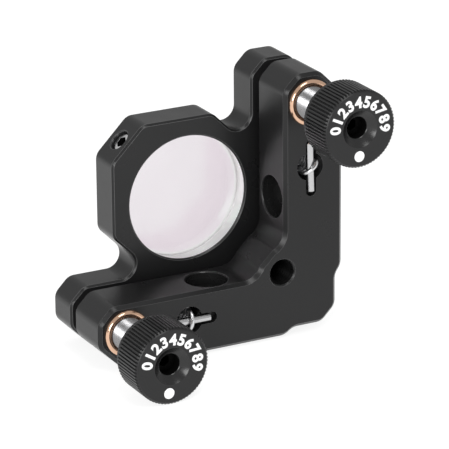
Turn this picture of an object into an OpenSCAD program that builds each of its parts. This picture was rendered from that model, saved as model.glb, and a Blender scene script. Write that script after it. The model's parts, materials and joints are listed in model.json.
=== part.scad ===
// Kinematic mirror mount: two L-shaped plates held together by two springs, round a ball at one corner,
// with two fine screws that tilt the front plate and its mirror. Millimetres. +Z is up, and +Y runs from
// the knobs to the mirror. The origin is the mouth of the post hole, in the middle of the base face.

/* [Plates] */
// Distance from the optical axis to the inner face of each arm of the back plate
arm_inner = 13.9; // [12.8:0.1:17]
// Width of each arm, from its inner face to the plate's outer face
arm_width = 12.3; // [11.8:0.1:15]
// Distance from an adjuster's axis to its arm's inner face
adjuster_margin = 5.35; // [5.3:0.05:6.5]
// Distance from an adjuster's axis to its arm's end
end_margin = 5.6; // [5.3:0.05:6.5]
// How much nearer the optical axis an adjuster lies along its arm than across it
adjuster_back = 0.25; // [0:0.05:0.5]
// Thickness of the back plate
back_thickness = 10.15; // [9.4:0.05:14]
// Thickness of the front plate
front_thickness = 7.1; // [7:0.1:10]
// Gap between the plates when the mirror is square to the back plate
plate_gap = 1.95; // [1.9:0.05:3]
// How far the front plate's upright arm reaches inwards past the back plate's
upright_step = 0.55; // [0:0.05:1]
// How far the front plate's level arm reaches inwards past the back plate's
level_step = 0.1; // [0:0.05:1]

/* [Plate edges] */
// Chamfer round the back plate's face on the knob side
back_edge = 0.67; // [0.3:0.01:0.9]
// Chamfer round the front plate's face on the knob side
front_edge = 0.4; // [0.2:0.01:0.8]
// Chamfer round both plates' faces on the mirror side
far_edge = 0.3; // [0.1:0.01:0.5]
// Cut across the inner corner of each arm's end
end_inner_cut = 2.9; // [1.5:0.1:3.5]
// Cut across the outer corner of each arm's end
end_outer_cut = 4.75; // [3:0.05:5]
// Depth of the relief along the outer faces at the pivot corner
relief = 1.27; // [0.5:0.01:1.5]
// Distance from the outer corner to where each relief meets the full face
relief_l = 12.05; // [10:0.05:13]
// Distance along each outer face over which its relief rises to the full face
relief_run = 1.8; // [1.3:0.1:2.5]
// Radius at both ends of that slope
relief_r = 3; // [1:0.1:3.2]
// Cut across the pivot corner
corner_cut = 2.9; // [2.4:0.1:4]
// Radius where a cut meets the side beside it
blend = 2.5; // [1:0.1:3]

/* [Mirror and its cell] */
// Diameter of the mirror
mirror_d = 25.4; // [20:0.1:26]
// Thickness of the mirror
mirror_t = 6; // [4:0.1:6.4]
// Bevel round each of the mirror's edges
mirror_bevel = 0.4; // [0.1:0.05:0.6]
// Radial clearance of the mirror in its cell
cell_gap = 0.05; // [0.03:0.01:0.15]
// Radial width of the lip that the mirror rests on
lip_w = 0.7; // [0.4:0.05:1.2]
// Thickness of that lip
lip_t = 0.5; // [0.4:0.05:0.8]
// Wall between the cell and the flat sides of the plate round it
cell_wall = 2.8; // [2:0.1:4]
// Cut across the plate's free corner, measured along each side
octagon_cut = 6.5; // [5:0.1:9]
// Distance from the plate's square corner to the start of the notch beside each arm
notch_start = 10.1; // [8:0.1:12]
// Radius in each notch
notch_r = 2.8; // [1.5:0.1:3.5]
// Radius on the corners round the cell
cell_round = 2.5; // [0.8:0.1:3]

/* [Mirror screw] */
// Diameter of the set screw
set_screw_d = 4; // [3:0.1:4.2]
// Length of the set screw
set_screw_l = 3.1; // [2.5:0.1:3.6]
// Chamfer at each end of the set screw
set_screw_edge = 0.3; // [0.1:0.05:0.5]
// Width across flats of its socket
set_screw_key = 2; // [1.3:0.1:2]
// Depth of its socket
set_screw_key_l = 1.5; // [1:0.1:2]
// Diameter of its nylon tip
set_tip_d = 1.8; // [1:0.1:2]
// Length of that tip
set_tip_l = 0.9; // [0.6:0.1:1.2]
// Distance of the set screw's axis from the front plate's near face
set_screw_in = 3.55; // [3:0.05:4]
// Mouth diameter of the countersink round the set screw
set_sink_d = 4.3; // [3.2:0.1:4.8]

/* [Inner corner] */
// Distance of the tapped hole from the lines of the arms' inner faces
corner_hole_in = 0.5; // [0:0.1:1]
// Diameter of the tapped hole
corner_hole_d = 5; // [3:0.1:5.4]
// Distance along each inner face from where their lines cross to the nose
nose_run = 5.96; // [5.5:0.01:7]
// Distance of the nose's point from the line of each inner face
nose_in = 4.14; // [3.8:0.01:4.4]
// Radius of the nose round the tapped hole
nose_r = 4.6; // [3:0.1:5]
// Radius of the fillets beside the nose
nose_fillet = 3.9; // [2:0.1:4.5]

/* [Post holes] */
// Diameter of the clearance hole for the post's screw
post_hole_d = 4.4; // [3.5:0.1:5]
// Diameter of the counterbore for the screw's head
head_d = 7.94; // [7:0.02:8.2]
// Depth of the counterbore
head_depth = 3.3; // [2.8:0.1:3.4]
// Chamfer at the mouth of the counterbore
head_edge = 0.2; // [0.1:0.05:0.3]

/* [Adjusters] */
// Diameter of the adjuster screws
screw_d = 6.35; // [5.2:0.05:7.65]
// Radial running clearance of a screw in its bushing, and of a ball tip's stem in its screw
running_gap = 0.03; // [0.02:0.01:0.08]
// Wall of a bushing's sleeve
bushing_wall = 0.8; // [0.5:0.05:0.9]
// How far a bushing's collar stands out from its sleeve
collar_out = 0.45; // [0.2:0.05:0.6]
// How far the collar stands proud of the plate
collar_proud = 0.9; // [0.6:0.05:1.5]
// Radius on the collar's rounded edge
collar_round = 0.4; // [0.1:0.05:0.5]
// Width of the bevel in the collar's mouth
collar_bevel = 0.65; // [0.3:0.05:0.7]
// Length of screw that shows between the back plate and the knob
free_length = 10; // [8:0.1:14]
// How far a screw's end stands out of the back plate towards the front plate
screw_proud = 0.25; // [0.1:0.05:0.4]
// Chamfer at each end of a screw
screw_edge = 0.3; // [0.1:0.05:0.5]
// Width across flats of the socket in a screw's knob end
screw_key = 2; // [1.5:0.1:2.5]
// Depth of that socket
screw_key_l = 3; // [2:0.1:4]
// Diameter of the ball tips
tip_ball_d = 4; // [3.4:0.1:4.4]
// Diameter of the stem behind a ball tip
tip_stem_d = 2.4; // [1.5:0.1:2.6]
// Length of a ball tip's stem, from the ball's middle
tip_stem_l = 4.1; // [3:0.1:6]

/* [Knobs] */
// Diameter of the knobs
knob_d = 14.6; // [12:0.05:17]
// Length of a knob
knob_l = 8.4; // [6.8:0.1:10]
// Length of the plain rim at a knob's rear
knob_rim_l = 0.8; // [0.3:0.1:1.5]
// How far that rim is set in from the grip
knob_rim_in = 0.3; // [0.1:0.05:0.6]
// Chamfer round a knob's face
knob_edge = 0.42; // [0.2:0.01:0.8]
// Diameter of the key hole in a knob's face
key_hole_d = 4; // [2.8:0.1:4.4]
// Diameter of the dish round the key hole
dish_d = 7.1; // [5:0.1:8]
// Depth of the dish
dish_depth = 1; // [0.5:0.1:1.5]
// Distance from a knob's face to the screw's end inside it
knob_web = 3.5; // [2.8:0.1:4]

/* [Pivot and seats] */
// Diameter of the pivot ball
pivot_ball_d = 4.76; // [3.9:0.01:5.75]
// Diameter of the four hardened seats
seat_d = 6; // [5.6:0.1:6.6]
// Length of the pivot seat in the back plate
pivot_seat_l = 6.6; // [6:0.1:7.5]
// Distance from the pivot ball's middle to the face of either seat round it
seat_clear = 1.1; // [1:0.05:1.15]
// Distance from a ball tip's middle to the vee seat's face
vee_clear = 0.8; // [0.6:0.05:1]
// Clearance between a ball and the seat it bears on
ball_gap = 0.03; // [0.02:0.01:0.05]
// Thickness of metal behind a seat's contact
seat_back = 1.4; // [1:0.1:1.6]

/* [Springs] */
// Distance of the upright arm's spring from the optical axis, along the arm
upright_spring_at = 6.35; // [6.3:0.05:8]
// Distance of the level arm's spring from the optical axis, along the arm
level_spring_at = 5.9; // [5.9:0.05:8]
// Distance of the pocket round the upright arm's spring from the optical axis, along the arm
upright_pocket_at = 6.5; // [6.1:0.05:8]
// Distance of the pocket round the level arm's spring from the optical axis, along the arm
level_pocket_at = 6.1; // [6.1:0.05:8]
// Diameter of the pockets
pocket_d = 5.45; // [5.2:0.05:5.5]
// Diameter of the spring wire
wire_d = 0.84; // [0.6:0.02:0.9]
// Mean diameter of the coil
coil_d = 3.6; // [3.1:0.1:3.7]
// Whole turns of coil
coil_turns = 13; // [9:1:15]
// Height of the bend from the coil into each hook
hook_rise = 2.2; // [0.8:0.1:2.4]
// Clearance between a hook and its pin
hook_gap = 0.03; // [0.01:0.01:0.05]
// Turn of the upright arm's hooks from square to their pins
upright_hook_turn = 40; // [0:1:45]
// Turn of the level arm's hooks from square to their pins
level_hook_turn = 6; // [0:1:45]

/* [Spring pins] */
// Diameter of each spring pin
pin_d = 1.5; // [1.2:0.1:1.6]
// Length of each spring pin
pin_l = 9.7; // [9:0.1:10]
// Chamfer at each end of a pin
pin_edge = 0.2; // [0.1:0.05:0.3]
// Distance of a pin's axis below the plate's face
pin_depth = 0.45; // [0.3:0.05:0.9]
// Width of each pin's slot
slot_w = 2.2; // [2:0.1:2.4]
// Length of each pin's slot
slot_l = 11.1; // [10.9:0.1:11.2]
// How far the springs, their pins and the slots lie outside the adjusters' line, across each arm
slot_out = 0.2; // [0:0.05:0.25]
// Distance of the middle of the upright arm's slots from the optical axis, along the arm
upright_slot_at = 6.25; // [6.15:0.05:6.4]
// Distance of the middle of the level arm's slots from the optical axis, along the arm
level_slot_at = 5.95; // [5.9:0.05:6.4]
// Distance of the middle of the upright arm's near pin from the optical axis, along the arm
upright_pin_at = 6.3; // [6.1:0.05:6.4]
// Distance of the middle of the level arm's near pin from the optical axis, along the arm
level_pin_at = 6.45; // [5.9:0.05:6.45]
// Lean of the upright arm's near pin in its slot, in degrees
upright_pin_lean = 1.8; // [0:0.1:2]

/* [Small clearances] */
// Radial gap round a piece that is pressed, screwed or bonded into another
press_gap = 0.01; // [0.005:0.005:0.02]
// Chamfer at the mouth of a hole
mouth = 0.25; // [0.1:0.05:0.4]

/* [Hidden] */
$fn = 64;

// Sizes of the plates, from the optical axis
axis_height = arm_inner + arm_width;
adjuster_at = arm_inner + adjuster_margin;
adjuster_reach = adjuster_at - adjuster_back;
arm_reach = adjuster_reach + end_margin;
slot_line = adjuster_at + slot_out;
cell_r = mirror_d / 2 + cell_gap;
octagon_half = cell_r + cell_wall;
notch_line = 2 * octagon_half - notch_start;
upright_inner = arm_inner - upright_step;
level_inner = arm_inner - level_step;

// Distance from the optical axis to the relieved part of each outer face
relieved = axis_height - relief;

// Levels along Y, from the back plate's near face
front_near = back_thickness + plate_gap;
front_far = front_near + front_thickness;
slot_depth = pin_depth + pin_d / 2 + press_gap;
screw_end_y = back_thickness + screw_proud;
knob_rear_y = -free_length;
knob_face_y = knob_rear_y - knob_l;
screw_start_y = knob_face_y + knob_web;

// Places in the plane of the plates, as [x, z] from the optical axis
top_at = [adjuster_at, adjuster_reach];
side_at = [-adjuster_reach, -adjuster_at];
pivot_at = [adjuster_at, -adjuster_at];
corner_hole_at = [arm_inner - corner_hole_in, corner_hole_in - arm_inner];

// Radii that fit one another
screw_r = screw_d / 2;
bushing_bore_r = screw_r + running_gap;
sleeve_r = bushing_bore_r + bushing_wall;
collar_r = sleeve_r + collar_out;
tip_r = tip_ball_d / 2;
stem_r = tip_stem_d / 2;
pivot_r = pivot_ball_d / 2;
seat_r = seat_d / 2;
wire_r = wire_d / 2;
coil_r = coil_d / 2;

// Depths of the seats' right-angled cone and groove, from the middle of the ball to the point
pivot_apex = (pivot_r + ball_gap) * sqrt(2);
vee_apex = (tip_r + ball_gap) * sqrt(2);

// Depths of the seat pockets below the front plate's near face
cone_pocket = pivot_apex + seat_back;
vee_pocket = vee_apex + seat_back;
flat_pocket = tip_r + ball_gap + seat_back;

// Past a face by this much, so that a cut leaves no skin
over = 1;

// Degrees between the points of a rounded corner, of a coil and of a hook
arc_step = 7.5;
coil_step = 18;
hook_step = 12;

// Degrees round its coil that a wire runs while it bends into a hook, and degrees that the hook arches
hook_bend = 36;
hook_arch = 204;

// Sides of a wire
wire_sides = 8;

// Helpers for outlines, which are lists of [x, z]
function unit(v) = v / norm(v);
function left(v) = [-v[1], v[0]];
function turned(v, a) = [v[0] * cos(a) - v[1] * sin(a), v[0] * sin(a) + v[1] * cos(a)];
function flipped(list) = [for (i = [len(list) - 1:-1:0]) list[i]];
function swapped(list) = [for (p = list) [-p[1], -p[0]]];

// Both halves of an outline that is its own mirror image across the line from the pivot to the free corner
function both(half) = concat(flipped(swapped(half)), half);
function twice(radii) = concat(flipped(radii), radii);

// The arc that rounds corner i of outline p to radius r[i], with every side moved inwards by inset
function corner_arc(p, r, i, inset) =
    let (n = len(p),
        a = unit(p[i] - p[(i + n - 1) % n]),
        b = unit(p[(i + 1) % n] - p[i]),
        turn = atan2(a[0] * b[1] - a[1] * b[0], a * b),
        side = sign(turn),
        corner = p[i] + inset * (left(a) + left(b)) / (1 + a * b),
        radius = r[i] - side * inset,
        centre = corner - a * radius * tan(abs(turn) / 2) + left(a) * side * radius,
        steps = ceil(abs(turn) / arc_step))
    [for (k = [0:steps]) centre - side * radius * turned(left(a), turn * k / steps)];

function rounded(p, r, inset) = [for (i = [0:len(p) - 1]) each corner_arc(p, r, i, inset)];

// The side of both plates from the pivot corner to the upright arm's end, anticlockwise from the knobs
outer_side = [
    [relieved, corner_cut - relieved],
    [relieved, relief_l - relief_run - axis_height],
    [axis_height, relief_l - axis_height],
    [axis_height, arm_reach - end_outer_cut],
    [axis_height - end_outer_cut, arm_reach]];
outer_radii = [blend, relief_r, relief_r, blend, blend];

// The back plate's inner side, from the upright arm's end to the nose
back_inner_side = [
    [arm_inner + end_inner_cut, arm_reach],
    [arm_inner, arm_reach - end_inner_cut],
    [arm_inner, nose_run - arm_inner],
    [arm_inner - nose_in, nose_in - arm_inner]];
back_inner_radii = [blend, blend, nose_fillet, nose_r];

// The front plate's inner side, from the upright arm's end to its free corner, with its inner face at inner
function front_inner_side(inner) = [
    [inner + end_inner_cut, arm_reach],
    [inner, arm_reach - end_inner_cut],
    [inner, notch_line - inner],
    [octagon_half - notch_start, octagon_half],
    [octagon_cut - octagon_half, octagon_half]];
front_inner_radii = [blend, blend, notch_r, cell_round, cell_round];

back_path = concat(both(outer_side), back_inner_side, flipped(swapped(back_inner_side)));
back_radii = concat(twice(outer_radii), back_inner_radii, flipped(back_inner_radii));
front_path = concat(both(outer_side), front_inner_side(upright_inner),
    flipped(swapped(front_inner_side(level_inner))));
front_radii = concat(twice(outer_radii), front_inner_radii, flipped(front_inner_radii));

// Twice the area of triangle a, b, c, which is positive when it runs anticlockwise
function doubled_area(a, b, c) = (b[0] - a[0]) * (c[1] - a[1]) - (b[1] - a[1]) * (c[0] - a[0]);

// True when point q is in triangle a, b, c or on its sides
function is_in(a, b, c, q) =
    doubled_area(a, b, q) >= 0 && doubled_area(b, c, q) >= 0 && doubled_area(c, a, q) >= 0;

// True when corner k of the outline p with corners ids can be cut off as a triangle with nothing in it
function is_ear(p, ids, k) =
    let (n = len(ids), a = p[ids[(k + n - 1) % n]], b = p[ids[k]], c = p[ids[(k + 1) % n]])
    doubled_area(a, b, c) > 0.000001
        && len([for (j = [2:n - 2]) if (is_in(a, b, c, p[ids[(k + j) % n]])) 1]) == 0;
function first_ear(p, ids, k) = is_ear(p, ids, k) ? k : first_ear(p, ids, k + 1);

// The outline p cut into triangles, so that a face with hollow corners is well defined
function triangles(p, ids) = len(ids) == 3 ? [ids] :
    let (n = len(ids), k = first_ear(p, ids, 0))
    concat([[ids[(k + n - 1) % n], ids[k], ids[(k + 1) % n]]],
        triangles(p, [for (j = [0:n - 1]) if (j != k) ids[j]]));

// A plate from y = 0 to thickness with outline p, chamfered by near at y = 0 and by far at the other face
module plate(p, r, thickness, near, far) {
    levels = [[0, near], [near, 0], [thickness - far, 0], [thickness, far]];
    rings = [for (level = levels) [for (q = rounded(p, r, level[1])) [q[0], level[0], q[1]]]];
    n = len(rings[0]);
    points = [for (ring = rings) each ring];
    walls = [for (j = [0:len(levels) - 2]) for (i = [0:n - 1])
        [j * n + i, j * n + (i + 1) % n, (j + 1) * n + (i + 1) % n, (j + 1) * n + i]];
    ids = [for (i = [0:n - 1]) i];
    near_cap = [for (f = triangles(rounded(p, r, near), ids)) flipped(f)];
    far_cap = [for (f = triangles(rounded(p, r, far), ids)) f + (len(levels) - 1) * n * [1, 1, 1]];
    polyhedron(points, concat(near_cap, far_cap, walls), convexity = 8);
}

// Moves what is drawn from the optical axis and the back plate's near face to the part's own origin
module from_post() {
    translate([0, -back_thickness / 2, axis_height]) children();
}

// A cylinder or cone along +Y, starting at level y, at [x, z]
module rod(at, y, length, r) {
    translate([at[0], y, at[1]]) rotate([-90, 0, 0]) cylinder(h = length, r = r);
}

module taper(at, y, length, r_near, r_far) {
    translate([at[0], y, at[1]]) rotate([-90, 0, 0]) cylinder(h = length, r1 = r_near, r2 = r_far);
}

// The bevel at the mouth of a hole of radius r, in a face at y = 0
module bevel(at, r) {
    taper(at, -mouth, 3 * mouth, r + 2 * mouth, r - mouth);
}

// An outline of [radius, y] turned about the Y axis at [x, z]
module lathe(at, outline) {
    translate([at[0], 0, at[1]]) rotate([-90, 0, 0]) rotate_extrude() polygon(outline);
}

// Mirrors what is made for the upright arm onto the level arm
module on_level_arm() {
    mirror([1, 0, 1]) children();
}

module on_both_arms() {
    children();
    on_level_arm() children();
}

// A spring's pocket and pin slot in the upright arm, with the slot opening at y = 0
module spring_cut(thickness, pocket_at, slot_at) {
    rod([adjuster_at, pocket_at], -over, thickness + 2 * over, pocket_d / 2);
    slot_reach = (slot_l - slot_w) / 2;
    for (end = [-1, 1])
        rod([slot_line, slot_at + end * slot_reach], -over, slot_depth + over, slot_w / 2);
    translate([slot_line - slot_w / 2, -over, slot_at - slot_reach])
        cube([slot_w, slot_depth + over, 2 * slot_reach]);
}

// Both arms' pockets and slots
module spring_cuts(thickness) {
    spring_cut(thickness, upright_pocket_at, upright_slot_at);
    on_level_arm() spring_cut(thickness, level_pocket_at, level_slot_at);
}

// The post hole of the upright arm, counterbored from the arm's inner face
module post_cut() {
    translate([arm_inner - over, back_thickness / 2, 0]) rotate([0, 90, 0]) {
        cylinder(h = arm_width + 2 * over, d = post_hole_d);
        cylinder(h = head_depth + over, d = head_d);
        cylinder(h = over + head_edge, d1 = head_d + 2 * (over + head_edge), d2 = head_d);
    }
}

module back_plate() {
    from_post() color("#2b2b2d") difference() {
        plate(back_path, back_radii, back_thickness, back_edge, far_edge);
        rod(corner_hole_at, -over, back_thickness + 2 * over, corner_hole_d / 2);
        bevel(corner_hole_at, corner_hole_d / 2);
        rod(pivot_at, front_near - seat_clear - pivot_seat_l, back_thickness, seat_r + press_gap);
        spring_cuts(back_thickness);
        on_both_arms() {
            rod(top_at, -over, back_thickness + 2 * over, sleeve_r + press_gap);
            post_cut();
        }
    }
}

// Centre of the set screw's mouth, as a distance from the optical axis towards the free corner
screw_face = (2 * octagon_half - octagon_cut) / sqrt(2);

// Points +Z of what is drawn from the optical axis along the set screw, towards the free corner
module along_set_screw() {
    translate([0, front_near + set_screw_in, 0]) rotate([0, -45, 0]) children();
}

// The front plate, drawn from its own near face
module front_blank() {
    difference() {
        plate(front_path, front_radii, front_thickness, front_edge, far_edge);
        rod([0, 0], lip_t, front_thickness, cell_r);
        rod([0, 0], -over, front_thickness, mirror_d / 2 - lip_w);
        bevel([0, 0], mirror_d / 2 - lip_w);
        rod(pivot_at, -over, cone_pocket + over, seat_r + press_gap);
        rod(side_at, -over, vee_pocket + over, seat_r + press_gap);
        rod(top_at, -over, flat_pocket + over, seat_r + press_gap);
        translate([0, front_thickness, 0]) mirror([0, 1, 0]) spring_cuts(front_thickness);
    }
}

module front_plate() {
    from_post() color("#2b2b2d") difference() {
        translate([0, front_near, 0]) front_blank();
        along_set_screw() {
            cylinder(h = screw_face + over, r = set_screw_d / 2 + press_gap);
            translate([0, 0, screw_face - (set_sink_d - set_screw_d) / 2])
                cylinder(h = over, d1 = set_screw_d, d2 = set_screw_d + 2 * over);
        }
    }
}

module mirror_glass() {
    r = mirror_d / 2;
    y0 = front_near + lip_t;
    y1 = y0 + mirror_t;
    from_post() color("#e8dcdc") lathe([0, 0], [[0, y0], [r - mirror_bevel, y0], [r, y0 + mirror_bevel],
        [r, y1 - mirror_bevel], [r - mirror_bevel, y1], [0, y1]]);
}

module mirror_set_screw() {
    r = set_screw_d / 2;
    start = mirror_d / 2 + set_tip_l;
    from_post() color("#8d8f92") along_set_screw() difference() {
        translate([0, 0, start]) rotate_extrude() polygon([[0, 0], [r - set_screw_edge, 0],
            [r, set_screw_edge], [r, set_screw_l - set_screw_edge],
            [r - set_screw_edge, set_screw_l], [0, set_screw_l]]);
        translate([0, 0, start + set_screw_l - set_screw_key_l])
            cylinder(h = set_screw_key_l + over, d = set_screw_key / cos(30), $fn = 6);
    }
}

module mirror_screw_tip() {
    from_post() color("#d9d9d6") along_set_screw()
        translate([0, 0, mirror_d / 2]) cylinder(h = set_tip_l, d = set_tip_d);
}

module bushing() {
    color("#b87850") lathe(top_at, [
        [bushing_bore_r, collar_bevel - collar_proud], [bushing_bore_r + collar_bevel, -collar_proud],
        for (a = [0:15:90])
            [collar_r - collar_round * (1 - sin(a)), collar_round * (1 - cos(a)) - collar_proud],
        [collar_r, 0], [sleeve_r, 0],
        [sleeve_r, back_thickness], [bushing_bore_r, back_thickness]]);
}

module adjuster_screw() {
    length = screw_end_y - screw_start_y;
    color("#c9cacc") difference() {
        lathe(top_at, [[0, screw_start_y], [screw_r - screw_edge, screw_start_y],
            [screw_r, screw_start_y + screw_edge], [screw_r, screw_end_y - screw_edge],
            [screw_r - screw_edge, screw_end_y], [0, screw_end_y]]);
        translate([adjuster_at, screw_start_y - over, adjuster_reach]) rotate([-90, 0, 0])
            cylinder(h = screw_key_l + over, d = screw_key / cos(30), $fn = 6);
        translate([adjuster_at, front_near, adjuster_reach]) sphere(r = tip_r + running_gap);
        rod(top_at, front_near - tip_stem_l - running_gap, length, stem_r + running_gap);
    }
}

module ball_tip() {
    color("#dfe0e2") {
        translate([adjuster_at, front_near, adjuster_reach]) sphere(r = tip_r);
        rod(top_at, front_near - tip_stem_l, tip_stem_l, stem_r);
    }
}

module knob() {
    r = knob_d / 2;
    hole_r = screw_r + press_gap;
    color("#1e1e20") lathe(top_at, [
        [key_hole_d / 2, knob_face_y + dish_depth], [dish_d / 2, knob_face_y],
        [r - knob_edge, knob_face_y], [r, knob_face_y + knob_edge],
        [r, knob_rear_y - knob_rim_l], [r - knob_rim_in, knob_rear_y - knob_rim_l],
        [r - knob_rim_in, knob_rear_y - mouth], [r - knob_rim_in - mouth, knob_rear_y],
        [hole_r, knob_rear_y], [hole_r, screw_start_y], [key_hole_d / 2, screw_start_y]]);
}

module pivot_ball() {
    from_post() color("#dfe0e2") translate([adjuster_at, front_near, -adjuster_at]) sphere(r = pivot_r);
}

// A seat at [x, z] from level y to y + length
module seat_blank(at, y, length) {
    color("#77797c") rod(at, y, length, seat_r);
}

module pivot_seat() {
    face = front_near - seat_clear;
    point = front_near - pivot_apex;
    from_post() difference() {
        seat_blank(pivot_at, face - pivot_seat_l, pivot_seat_l);
        taper(pivot_at, point, face + over - point, 0, face + over - point);
    }
}

module cone_seat() {
    face = front_near + seat_clear;
    point = front_near + pivot_apex;
    from_post() difference() {
        seat_blank(pivot_at, face, front_near + cone_pocket - face);
        taper(pivot_at, face - over, point - face + over, point - face + over, 0);
    }
}

module vee_seat() {
    face = front_near + vee_clear;
    point = front_near + vee_apex;
    depth = point - face + over;
    from_post() difference() {
        seat_blank(side_at, face, front_near + vee_pocket - face);
        translate([-adjuster_reach - seat_r - over, point, -adjuster_at]) rotate([135, 0, 0])
            cube([2 * (seat_r + over), depth * sqrt(2), depth * sqrt(2)]);
    }
}

module flat_seat() {
    from_post() seat_blank(top_at, front_near + tip_r + ball_gap, seat_back);
}

// Levels of a spring, which hangs between the two pins
near_pin_y = pin_depth;
far_pin_y = front_far - pin_depth;
hook_top = hook_rise + coil_r - pin_d / 2 - wire_r - hook_gap;
coil_y0 = near_pin_y + hook_top;
coil_y1 = far_pin_y - hook_top;

// A point of the wire's centre line, as [x, z, y] about the spring's axis, a degrees round at height y
function on_coil(a, y) = [coil_r * cos(a), coil_r * sin(a), y];

// A hook from the coil's end at angle a and height y: the wire bends up along the axis, then arches over
// its pin. side is 1 when the angle runs on and -1 when it runs back, and up is the hook's way along Y.
function hook(a, y, side, up) = concat(
    [for (t = [hook_step:hook_step:84])
        on_coil(a + side * hook_bend * sin(t), y + up * hook_rise * (1 - cos(t)))],
    [for (t = [0:hook_step:hook_arch]) let (r = coil_r * cos(t), b = a + side * hook_bend)
        [r * cos(b), r * sin(b), y + up * (hook_rise + coil_r * sin(t))]]);

// The whole centre line: near hook, coil and far hook, with both hooks turned by twist from the X axis
function wire_path(twist) =
    let (first = 180 + twist + hook_bend, run = coil_turns * 360 - 2 * hook_bend, rise = coil_y1 - coil_y0)
    concat(flipped(hook(first, coil_y0, -1, -1)),
        [for (k = [0:coil_step:run]) on_coil(first + k, coil_y0 + rise * k / run)],
        hook(first + run, coil_y1, 1, 1));

// A round wire along points p, as rings of points that turn as little as they can
function next_side(u, t) = unit(u - (u * t) * t);
function side_vectors(t, i, u) = i == len(t) ? [] :
    let (v = next_side(u, t[i])) concat([v], side_vectors(t, i + 1, v));

module wire(p, r) {
    n = len(p);
    t = [for (i = [0:n - 1]) unit(p[min(i + 1, n - 1)] - p[max(i - 1, 0)])];
    u = side_vectors(t, 0, cross(t[0], [1, 2, 3]));
    m = wire_sides;
    points = [for (i = [0:n - 1]) for (k = [0:m - 1])
        p[i] + r * (u[i] * cos(360 * k / m) + cross(t[i], u[i]) * sin(360 * k / m))];
    skin = [for (i = [0:n - 2]) for (k = [0:m - 1]) let (next = (k + 1) % m)
        [i * m + k, (i + 1) * m + k, (i + 1) * m + next, i * m + next]];
    start = [for (k = [0:m - 1]) k];
    end = [for (k = [m - 1:-1:0]) (n - 1) * m + k];
    polyhedron(points, concat([start, end], skin), convexity = 10);
}

module spring(at, twist) {
    path = [for (q = wire_path(twist)) [at[0] + q[0], q[2], at[1] + q[1]]];
    from_post() color("#b9babd") wire(path, wire_r);
}

// A spring pin along the upright arm at level y, with its top leaning inwards by lean degrees
module pin(y, middle_at, lean) {
    r = pin_d / 2;
    color("#d3d4d6") translate([slot_line, y, middle_at]) rotate([0, -lean, 0])
        translate([0, 0, -pin_l / 2]) rotate_extrude() polygon([[0, 0], [r - pin_edge, 0],
            [r, pin_edge], [r, pin_l - pin_edge], [r - pin_edge, pin_l], [0, pin_l]]);
}

module top_bushing() {
    from_post() bushing();
}

module side_bushing() {
    from_post() on_level_arm() bushing();
}

module top_screw() {
    from_post() adjuster_screw();
}

module side_screw() {
    from_post() on_level_arm() adjuster_screw();
}

module top_ball_tip() {
    from_post() ball_tip();
}

module side_ball_tip() {
    from_post() on_level_arm() ball_tip();
}

module top_knob() {
    from_post() knob();
}

module side_knob() {
    from_post() on_level_arm() knob();
}

module top_spring() {
    spring([slot_line, upright_spring_at], upright_hook_turn);
}

module side_spring() {
    spring([-level_spring_at, -slot_line], 90 - level_hook_turn);
}

module top_back_pin() {
    from_post() pin(near_pin_y, upright_pin_at, upright_pin_lean);
}

module side_back_pin() {
    from_post() on_level_arm() pin(near_pin_y, level_pin_at, 0);
}

module top_front_pin() {
    from_post() pin(far_pin_y, upright_slot_at, 0);
}

module side_front_pin() {
    from_post() on_level_arm() pin(far_pin_y, level_slot_at, 0);
}

back_plate();
front_plate();
mirror_glass();
mirror_set_screw();
mirror_screw_tip();
top_bushing();
side_bushing();
top_screw();
side_screw();
top_ball_tip();
side_ball_tip();
top_knob();
side_knob();
pivot_ball();
pivot_seat();
cone_seat();
vee_seat();
flat_seat();
top_spring();
side_spring();
top_back_pin();
side_back_pin();
top_front_pin();
side_front_pin();
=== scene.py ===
import math
import bpy
import bmesh
from mathutils import Matrix, Vector
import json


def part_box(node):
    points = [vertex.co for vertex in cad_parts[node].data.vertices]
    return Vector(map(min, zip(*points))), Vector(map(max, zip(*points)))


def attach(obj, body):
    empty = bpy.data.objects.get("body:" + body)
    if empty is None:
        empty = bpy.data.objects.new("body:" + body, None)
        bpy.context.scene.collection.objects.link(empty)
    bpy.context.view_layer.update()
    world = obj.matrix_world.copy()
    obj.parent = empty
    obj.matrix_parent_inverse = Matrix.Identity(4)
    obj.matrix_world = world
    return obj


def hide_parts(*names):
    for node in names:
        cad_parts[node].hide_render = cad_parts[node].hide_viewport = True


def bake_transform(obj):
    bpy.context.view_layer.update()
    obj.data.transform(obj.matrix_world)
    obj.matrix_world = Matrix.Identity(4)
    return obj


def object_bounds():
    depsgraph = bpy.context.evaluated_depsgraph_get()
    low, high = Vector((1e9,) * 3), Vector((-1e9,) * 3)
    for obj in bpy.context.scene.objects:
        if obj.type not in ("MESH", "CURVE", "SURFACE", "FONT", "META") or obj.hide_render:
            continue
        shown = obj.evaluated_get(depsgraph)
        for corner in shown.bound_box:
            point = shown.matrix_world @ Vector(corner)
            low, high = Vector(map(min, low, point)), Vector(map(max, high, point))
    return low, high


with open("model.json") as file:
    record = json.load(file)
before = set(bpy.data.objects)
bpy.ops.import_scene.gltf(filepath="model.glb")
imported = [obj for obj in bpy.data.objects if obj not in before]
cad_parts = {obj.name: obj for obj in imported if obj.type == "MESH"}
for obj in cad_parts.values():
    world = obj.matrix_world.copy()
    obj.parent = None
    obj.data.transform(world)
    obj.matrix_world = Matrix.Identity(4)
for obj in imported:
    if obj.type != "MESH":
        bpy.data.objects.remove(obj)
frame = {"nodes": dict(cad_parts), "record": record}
cadLow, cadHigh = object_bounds()
scene = bpy.context.scene
scene.view_settings.view_transform = "Standard"  # white stays white
fullTurn = 2 * math.pi
mergeWithin = 1e-7  # points nearer than this are one point
levelWithin = 1e-6  # how near a level counts as that level
print("frame loaded:", len(frame["nodes"]), "CAD nodes")


# helpers for meshes

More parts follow.
